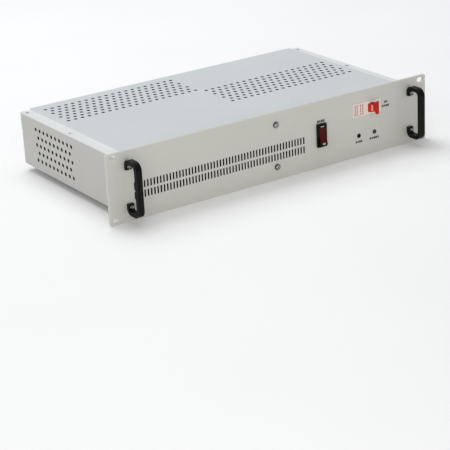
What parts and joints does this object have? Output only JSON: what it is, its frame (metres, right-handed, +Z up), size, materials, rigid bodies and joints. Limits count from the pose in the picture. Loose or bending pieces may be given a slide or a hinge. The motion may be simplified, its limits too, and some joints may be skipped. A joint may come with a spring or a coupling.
{
  "type": "rackmount ups",
  "caption": "Low rackmount uninterruptible power supply: perforated steel case, vented front panel with bow handles, rocker switch, breaker, and rear power and signal connections.",
  "frame": {"origin": "centre of the four rack slots, on the back face of the front panel, where it meets the rack rails", "axes": "+X to the right seen from the front, +Y into the rack away from the panel, +Z up"},
  "size_m": [0.4826, 0.2952, 0.0882],
  "materials": {
    "panel_paint": "fine satin powder coat, warm light grey",
    "case_paint": "fine satin powder coat, light grey",
    "cover_paint": "fine satin powder coat, cool light grey",
    "handle_black": "matt black moulding",
    "screw_zinc": "bright zinc plate",
    "screw_dark": "blackened steel",
    "black_plastic": "semi-gloss black moulding",
    "red_lens": "dark red translucent lens",
    "breaker_white": "white moulding",
    "breaker_red": "orange-red moulding",
    "led_lens": "clear lens, unlit",
    "clear_cover": "clear moulded cover",
    "contact_metal": "plated contacts",
    "yellow_zinc": "yellow passivated zinc",
    "gold_shell": "yellow plated shell",
    "insert_tan": "tan insulator",
    "label_silver": "silver printed film",
    "board_green": "solder-masked board",
    "core_steel": "varnished laminations",
    "coil_tape": "red-brown tape",
    "copper_wire": "enamelled copper",
    "sink_aluminium": "extruded aluminium",
    "capacitor_sleeve": "shrink sleeve",
    "relay_blue": "moulded case",
    "red_insulation": "red wire insulation",
    "black_insulation": "black wire insulation"
  },
  "bodies": {
    "case": {"front_panel": "panel_paint", "chassis_tray": "case_paint", "rear_panel": "case_paint", "top_cover": "cover_paint", "handle_left": "handle_black", "handle_right": "handle_black", "handle_screws": "screw_zinc", "panel_screws": "screw_zinc", "clinch_nuts": "screw_zinc", "cover_screws": "screw_zinc", "rear_cover_screws": "screw_zinc", "rear_panel_screws": "screw_dark", "switch_body": "black_plastic", "switch_blades": "contact_metal", "breaker_body": "breaker_white", "breaker_clamps": "yellow_zinc", "breaker_rail": "screw_zinc", "led_holders": "black_plastic", "led_lenses": "led_lens", "indicator_board": "board_green", "inlet_body": "black_plastic", "inlet_blades": "contact_metal", "earth_stud": "screw_zinc", "earth_washers": "yellow_zinc", "earth_nuts": "screw_zinc", "terminal_base": "black_plastic", "terminal_plates": "contact_metal", "terminal_screws": "screw_zinc", "terminal_fixings": "screw_zinc", "dsub_shell": "gold_shell", "dsub_insert": "insert_tan", "dsub_contacts": "gold_shell", "dsub_jackscrews": "screw_zinc", "rating_label": "label_silver", "power_board": "board_green", "board_standoffs": "yellow_zinc", "board_screws": "screw_zinc", "transformer_core": "core_steel", "transformer_coil": "coil_tape", "transformer_bolts": "screw_zinc", "heatsink": "sink_aluminium", "power_transistors": "black_plastic", "bulk_capacitors": "capacitor_sleeve", "output_choke": "copper_wire", "relays": "relay_blue", "output_board": "board_green", "control_board": "board_green", "mains_filter": "sink_aluminium", "battery_wires": "red_insulation", "mains_wires": "black_insulation"},
    "rocker": {"switch_rocker": "black_plastic", "rocker_lens": "red_lens"},
    "breaker_lever": {"breaker_toggle": "breaker_red"},
    "terminal_guard": {"terminal_cover": "clear_cover"}
  },
  "joints": [
    {"name": "rocker_tilt", "type": "hinge", "parent": "case", "child": "rocker", "pos_m": [0.0697, -0.0025, -0.0009], "axis": [1, 0, 0], "range_deg": [0, 16]},
    {"name": "breaker_lever_swing", "type": "hinge", "parent": "case", "child": "breaker_lever", "pos_m": [0.1515, -0.0025, 0.01845], "axis": [0, 0, 1], "range_deg": [-67, 0]},
    {"name": "terminal_guard_pull", "type": "slide", "parent": "case", "child": "terminal_guard", "axis": [0, 1, 0], "range_m": [0, 0.03]}
  ]
}
